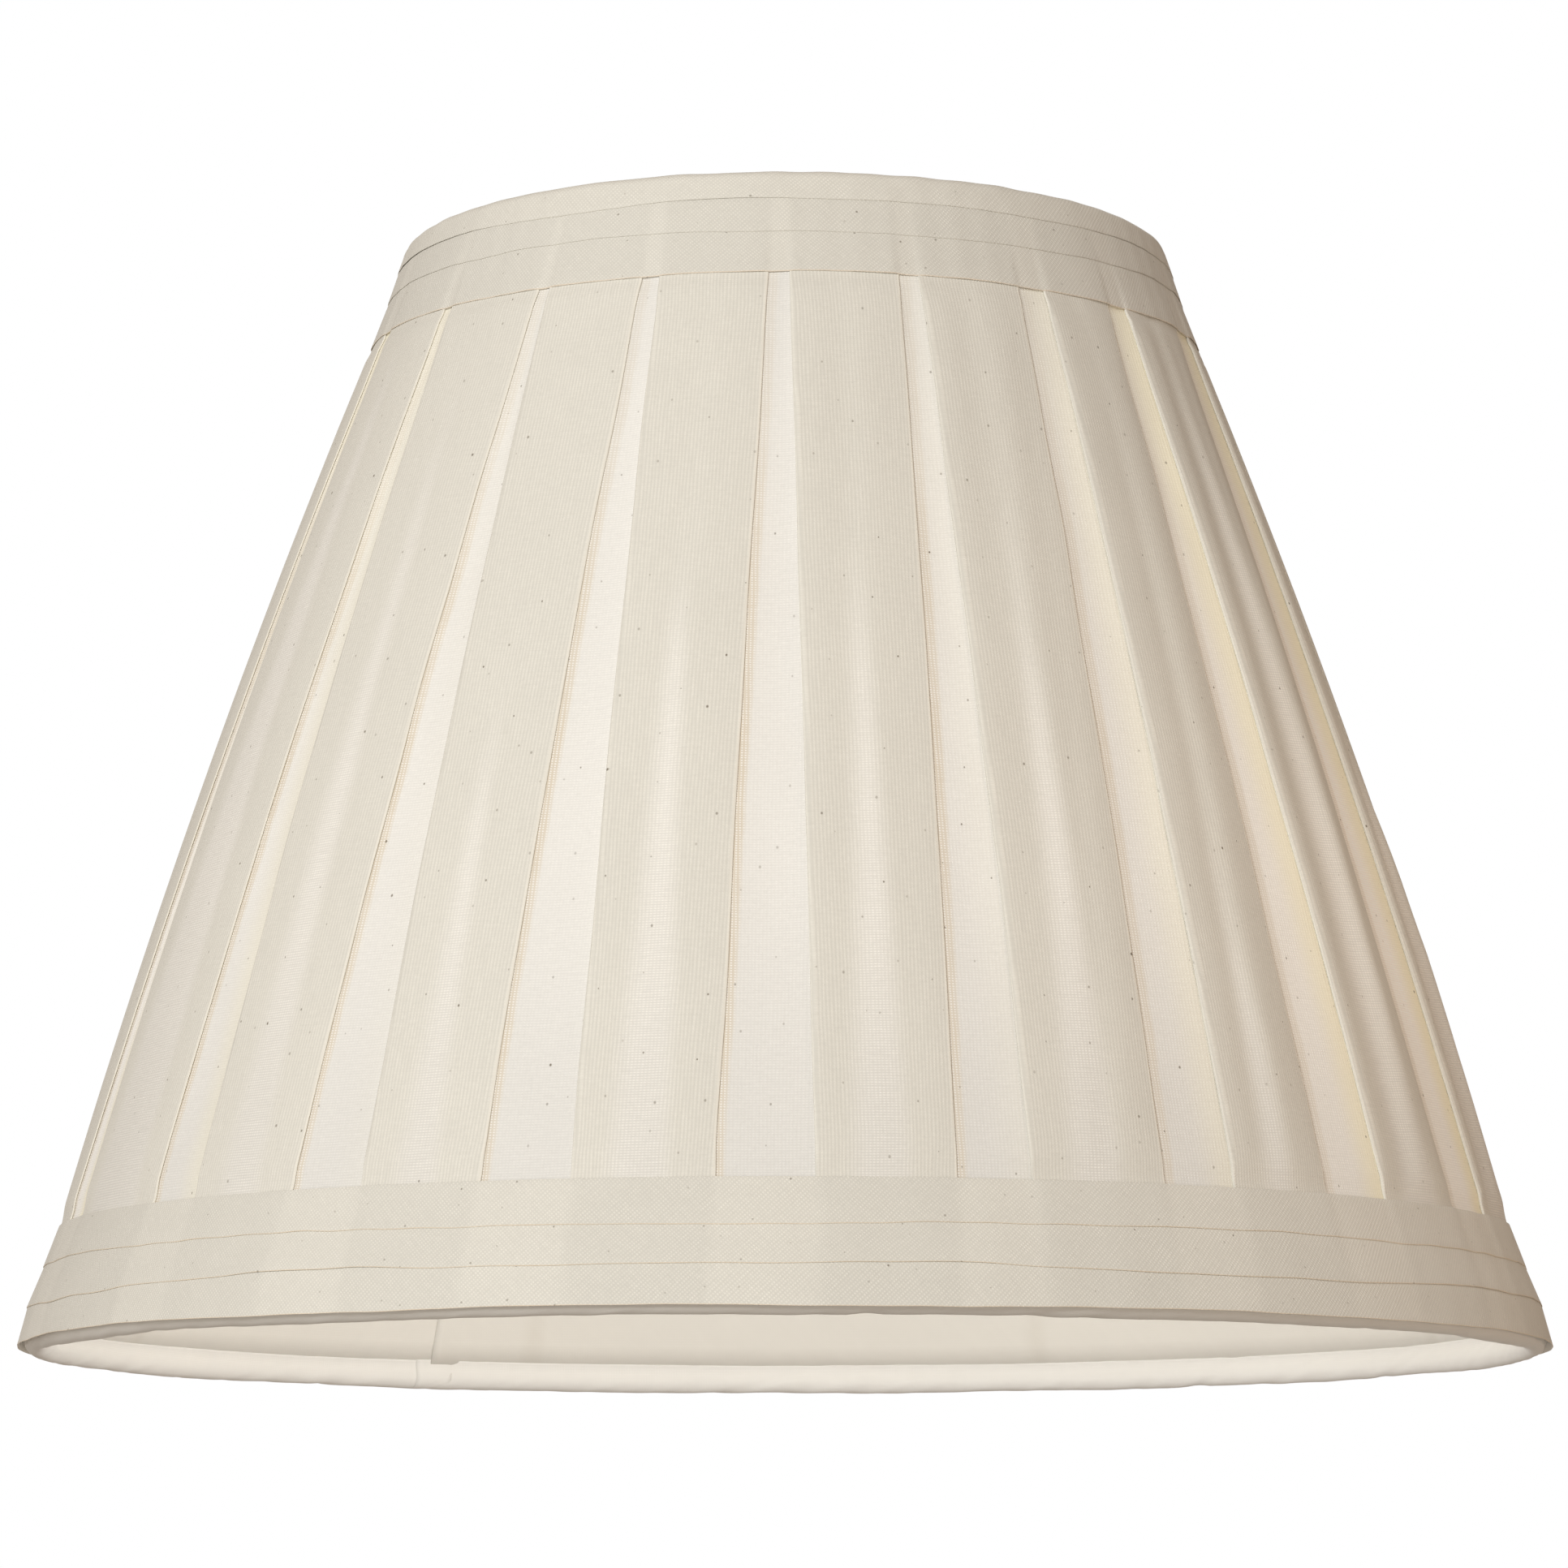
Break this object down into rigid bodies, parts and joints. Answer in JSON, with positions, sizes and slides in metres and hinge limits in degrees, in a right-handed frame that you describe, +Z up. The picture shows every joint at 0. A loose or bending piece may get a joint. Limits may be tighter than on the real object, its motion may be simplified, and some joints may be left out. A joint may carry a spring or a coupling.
{
  "type": "lamp shade",
  "caption": "Box-pleated cloth empire lamp shade on a wire frame, with banded rims, a plain lining and a recessed spider that sits on a lamp harp.",
  "frame": {"origin": "centre of the bottom rim, at the height of the surface that the shade stands on", "axes": "+Z up the shade's axis towards the small top rim, -Y towards the viewer, +X to the right"},
  "size_m": [0.4064, 0.4064, 0.2997],
  "materials": {
    "pleated_cloth": "undyed plain-weave cotton with small dark flecks, box pleated",
    "trim_cloth": "the same undyed cotton cut on the bias and folded",
    "lining_satin": "smooth off-white lining cloth with a soft sheen",
    "binding_tape": "plain cotton tape",
    "frame_wire": "white painted steel wire",
    "spider_metal": "satin nickel plated steel"
  },
  "bodies": {
    "root": {"top_ring": "frame_wire", "bottom_ring": "frame_wire", "rib_1": "frame_wire", "rib_2": "frame_wire", "rib_3": "frame_wire", "rib_4": "frame_wire", "rib_5": "frame_wire", "rib_6": "frame_wire", "rib_7": "frame_wire", "rib_8": "frame_wire", "spider_arm_1": "spider_metal", "spider_arm_2": "spider_metal", "spider_arm_3": "spider_metal", "spider_washer": "spider_metal", "top_ring_tape": "binding_tape", "bottom_ring_tape": "binding_tape", "lining": "lining_satin", "hem_roll": "lining_satin", "pleated_cover": "pleated_cloth", "top_trim_rim": "trim_cloth", "top_trim_middle": "trim_cloth", "top_trim_lower": "trim_cloth", "bottom_trim_upper": "trim_cloth", "bottom_trim_middle": "trim_cloth", "bottom_trim_lower": "trim_cloth"}
  },
  "joints": []
}
